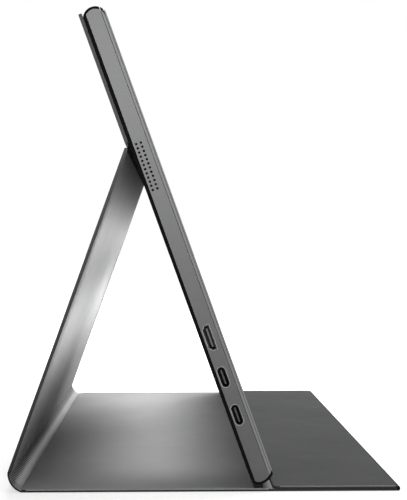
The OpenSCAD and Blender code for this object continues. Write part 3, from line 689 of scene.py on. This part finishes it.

# ---------------------------------------------------------------- Spine of the cover
# Limp double cloth, with no board in it, that bulges out between the table panel and the leg.
# Its lining is gathered into fine slanted pleats.
SPINE_FROM, SPINE_TO = -70.3, 1.9  # where the bend starts and stops, in degrees
# The spine's lining is the cover lining's twill in lighter tones: painted light on the spine.
SPINE_PAINTED_LIT_DARK, SPINE_PAINTED_LIT_LIGHT = (0.5, 0.501, 0.505), (0.7, 0.701, 0.706)
PLEAT = (10.6, 0.85)  # pitch of the pleats along the spine and round it, in millimetres


def spine_band(name, radius, thick, inward, half, finish, ripple, turns=22, pleat=0.0):
    """A strip of the spine, bent round its middle line, with the ripples of limp cloth.
    pleat is the height of the fine slanted pleats that run along its upper half."""
    points, faces, threads = [], [], []
    xs = rows(-half, half, 2.4)
    for k in range(turns + 1):
        angle = math.radians(SPINE_FROM + (SPINE_TO - SPINE_FROM) * k / turns)
        calm = math.sin(math.pi * k / turns)
        upper = min(1.0, max(0.0, (k / turns - 0.3) / 0.2)) * min(1.0, (1.0 - k / turns) / 0.08)
        for x in xs:
            slant = math.sin(2 * math.pi * (x / PLEAT[0] + radius * angle / PLEAT[1]))
            soft = noise.noise(Vector((x / 14.0, angle * 2.2, 5.0)))
            r = radius + ripple * calm * soft + pleat * upper * slant
            y = SPINE_MIDDLE[0] + r * math.cos(angle)
            points.append(on_table(x, y, SPINE_MIDDLE[1] + r * math.sin(angle)))
            threads.append((x * MM, radius * angle * MM))
    across = len(xs)
    for k in range(turns):
        for i in range(across - 1):
            at = k * across + i
            quad = (at, at + 1, at + 1 + across, at + across)
            faces.append(quad if inward else tuple(reversed(quad)))
    piece = sewn(name, points, faces, threads)
    piece.data.materials.append(finish.material)
    thicken(piece, thick)
    return piece


# A lighter copy of the cover lining, as painted light on the spine.
spine_lining = twill("spine_lining", SPINE_PAINTED_LIT_DARK, SPINE_PAINTED_LIT_LIGHT, 0.0009, 0.92, 0.03, slant=0.7, deep=0.00004)
along, around = spine_lining.thread_lines()
turns_along, turns_round = (2 * math.pi / (pitch * MM) for pitch in PLEAT)
# Painted shade: the valleys of the pleats are darkened over a span of the spine's lining.
pleat_valley_shade = (along * turns_along + around * turns_round).sum("SINE") * 0.5 + 0.5
pleat_shade_span = spine_lining.node("ShaderNodeMapRange", {}, {0: around, 1: -0.0068, 2: -0.0052})
spine_lining.wear(Base_Color=spine_lining.mixed(pleat_valley_shade * pleat_shade_span, spine_lining.tone, (0.07, 0.07, 0.072)))
spine_skin = spine_band("spine_skin", SPINE_R, 0.4, False, COVER_HALF, cover_cloth, 0.1)
spine_inside = spine_band(
    "spine_inside", SPINE_R - 0.78, 0.12, True, 178.6, spine_lining, 0.12, 72, 0.09
)
for piece, node in ((spine_skin, "spine_cloth"), (spine_inside, "spine_lining")):
    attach(piece, "spine")
    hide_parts(node)
    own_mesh(piece)

# ---------------------------------------------------------------- Leg of the cover
# The stiff panel that props the monitor from behind. Same board, cloth and lining.
LEG_FOOT, LEG_UP, LEG_IN = (87.86748, 9.03), (-0.339559, 0.940584), (-0.940584, -0.339559)
LEG = (0.35, 153.797, 1.5)


def on_leg(x, v, n):
    y = LEG_FOOT[0] + v * LEG_UP[0] + n * LEG_IN[0]
    return on_table(x, y, LEG_FOOT[1] + v * LEG_UP[1] + n * LEG_IN[1])


def yz(point):
    return point[1] / MM, point[2] / MM


leg_skin = cover_skin("leg_skin", on_leg, LEG[0], LEG[1], (CLOTH_CORNER, CLOTH_CORNER), LEG[2])
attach(leg_skin, "leg")
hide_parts("leg_cloth")
leg_lie = soft_lie(0.05, 40.0, 8.2)
leg_inside = cover_inside(
    "leg_inside", on_leg, LEG[0], LEG[1], (LINING_CORNER, LINING_CORNER), LEG[2], leg_lie
)
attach(leg_inside, "leg")
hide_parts("leg_lining")
leg_lining_turn = fold_band(
    "leg_lining_turn",
    [(86.78, 7.4), (86.45, 8.4)] + [yz(on_leg(0, up, 1.59)) for up in (0.6, 1.3, 2.2, 3.2)],
    0.05, LINING_HALF, cover_lining,
)
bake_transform(leg_lining_turn)
dress("leg_board", board_fibre)
hinge_line = [yz(on_leg(0, 0.8, 0.02)), yz(on_leg(0, 0.35, 0.03))]
hinge_line += bend(SPINE_MIDDLE, SPINE_R - 0.02, 2.2, 0.4, 2)
spine_hinge = fold_band("spine_hinge", hinge_line, 0.3, FOLD_HALF)
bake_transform(spine_hinge)

# ---------------------------------------------------------------- Upper panel of the cover
# The panel that the magnets hold on the monitor's back. It stands a little past the
# shell's rolled edge, so its free end shows. Bare cloth makes the fold below it.
UPPER = (163.8, 225.3, 1.6)
FOLD = (34.3904, 154.5121)


def on_back(x, s, n):
    return on_monitor(x, s, n - UPPER[2])


upper_skin = cover_skin("upper_skin", on_back, UPPER[0], UPPER[1], (CLOTH_CORNER, HEM_CORNER), UPPER[2])
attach(upper_skin, "monitor")
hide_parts("upper_cloth")
upper_inside = cover_inside(
    "upper_inside", on_back, UPPER[0], UPPER[1], (LINING_CORNER, HEM_CORNER), UPPER[2], flat_lie
)
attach(upper_inside, "monitor")
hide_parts("upper_lining")
dress("upper_board", board_fibre)
fold_line = [yz(on_back(0, UPPER[0] + 0.2, 0.55)), (FOLD[0] + 0.22, FOLD[1] + 0.5), (FOLD[0] + 0.17, FOLD[1])]
fold_line += [(FOLD[0] + 0.27, FOLD[1] - 0.5), yz(on_leg(0, LEG[1] - 0.2, 0.75))]
upper_hinge = fold_band("upper_hinge", fold_line, 0.35, FOLD_HALF)
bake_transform(upper_hinge)
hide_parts("upper_fold_cloth")

# ---------------------------------------------------------------- End flap of the cover
# The front end of the cover, folded back on itself, so its outer cloth is on top. Its free
# hem lies in front of the monitor's foot. It unfolds round the front crease, and its sides are stitched in
# pale thread: a painted highlight.
FLAP = (30.759, 86.66, 1.08)


def on_flap(x, v, n):
    return on_table(x, -v, FOLDED - n)


flap_lie = soft_lie(0.04, 26.0, 1.7)
flap_skin = cover_skin(
    "flap_skin", on_flap, FLAP[0], FLAP[1], (HEM_CORNER, CLOTH_CORNER), FLAP[2], flap_lie
)
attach(flap_skin, "end_flap")
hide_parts("flap_cloth")
flap_stitches = edge_stitches("flap_stitches", on_flap, FLAP[0] + 3.0, FLAP[1] - 1.0, 0.06, cloth_thread_highlight)
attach(flap_stitches, "end_flap")
flap_inside = cover_inside(
    "flap_inside", on_flap, FLAP[0], FLAP[1], (HEM_CORNER, LINING_CORNER), FLAP[2], flat_lie
)
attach(flap_inside, "end_flap")
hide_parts("flap_lining")
dress("flap_board", board_fibre)

# ---------------------------------------------------------------- Floor and light
# A plain white floor that keeps the shadow, and white all round for the eye and for reflections.
# Soft lamps stand overhead, level on the near side and beyond the far end, and six slim ones
# inside the stand, which were placed by trial.
SEEN = ("Is Camera Ray", "Is Glossy Ray", "Is Transmission Ray")


def seen_white(nodes_of):
    """1 where the white is seen, straight or by way of metal or glass, and 0 where it would light."""
    rays = nodes_of.make("ShaderNodeLightPath", {}, {}).outputs
    seen = nodes_of.sum("MAXIMUM", Tone(nodes_of, rays[SEEN[0]]), Tone(nodes_of, rays[SEEN[1]]))
    return nodes_of.sum("MAXIMUM", seen, Tone(nodes_of, rays[SEEN[2]]))


floor_mesh = bpy.data.meshes.new("floor")
floor_mesh.from_pydata([(-9, -9, 0), (9, -9, 0), (9, 9, 0), (-9, 9, 0)], [], [(0, 1, 2, 3)])
floor = bpy.data.objects.new("floor", floor_mesh)
floor.location.z = -0.0001  # just clear of the cloth that lies on it
bpy.context.scene.collection.objects.link(floor)
floor_white = Finish("floor_white", Roughness=0.95, Emission_Strength=1.0, Specular_IOR_Level=0.0)
gone = floor_white.node("ShaderNodeVectorMath", {"operation": "LENGTH"}, {0: floor_white.place()}, out=1)
ease = {0: gone, 1: 0.25, 2: 0.75, 3: 0.62, 4: 1.0}  # from 0.62 near the object to 1 beyond 0.75 m
fade = floor_white.node("ShaderNodeMapRange", {"interpolation_type": "SMOOTHSTEP"}, ease)
floor_white.wear(
    Base_Color=(0.82, 0.82, 0.82),
    Emission_Color=floor_white.mixed(seen_white(floor_white) * fade, (0, 0, 0), (1, 1, 1)),
)
floor_mesh.materials.append(floor_white.material)

world = bpy.data.worlds.new("studio")
bpy.context.scene.world = world
world.use_nodes = True
air = Nodes(world.node_tree)
lit_air = air.node("ShaderNodeBackground", {}, {"Color": (1, 1, 1), "Strength": 0.26})
white_air = air.node("ShaderNodeBackground", {}, {"Color": (1, 1, 1)})
either = air.node("ShaderNodeMixShader", {}, {0: seen_white(air), 1: lit_air, 2: white_air})
air.make("ShaderNodeOutputWorld", {}, {"Surface": either})


def lamp(name, at, aim, wide, high, watts):
    """A soft box: a flat lamp of wide by high metres that looks from one point to another."""
    light = bpy.data.lights.new(name, "AREA")
    light.shape, light.size, light.size_y, light.energy = "RECTANGLE", wide, high, watts
    box = bpy.data.objects.new(name, light)
    box.location = at
    box.rotation_mode = "QUATERNION"
    box.rotation_quaternion = (Vector(aim) - Vector(at)).to_track_quat("-Z", "Y")
    bpy.context.scene.collection.objects.link(box)
    box.visible_camera = False
    return box


def narrow(light, beam):
    """Keeps a lamp's beam to so many degrees, and the lamp itself out of reflections."""
    light.data.spread = math.radians(beam)
    light.visible_glossy = False


lamp("overhead", (0.0, -0.3, 1.0), (0.0, -0.1, 0.0), 0.9, 0.6, 3.9)
narrow(lamp("near_side", (-0.479, 0.044, 0.197), (-0.179, 0.044, 0.197), 0.08, 0.08, 0.09), 65)
lamp("far_end", (0.7, -0.1, 0.7), (0.1, 0.0, 0.05), 0.6, 0.6, 7.4)
for name, at, aim, wide, high, watts, beam in (
    ("tent_far", (0.11, 0.004, 0.060), (0.11, 0.075, 0.046), 0.14, 0.05, 0.024, 130),
    ("tent_upper", (0.0, 0.0205, 0.104), (0.0, 0.048, 0.118), 0.34, 0.02, 0.042, 95),
    ("tent_middle", (-0.01, 0.012, 0.080), (-0.01, 0.060, 0.083), 0.32, 0.02, 0.023, 85),
    ("tent_lower", (0.0, 0.004, 0.057), (0.0, 0.064, 0.070), 0.34, 0.02, 0.044, 72),
    ("spine_strip", (0.0, 0.036, 0.0034), (0.0, 0.0855, 0.0026), 0.34, 0.002, 0.0011, 6),
    ("tent_floor", (0.01, 0.024, 0.055), (0.01, 0.024, 0.0), 0.33, 0.02, 0.031, 95),
):
    narrow(lamp(name, at, aim, wide, high, watts), beam)
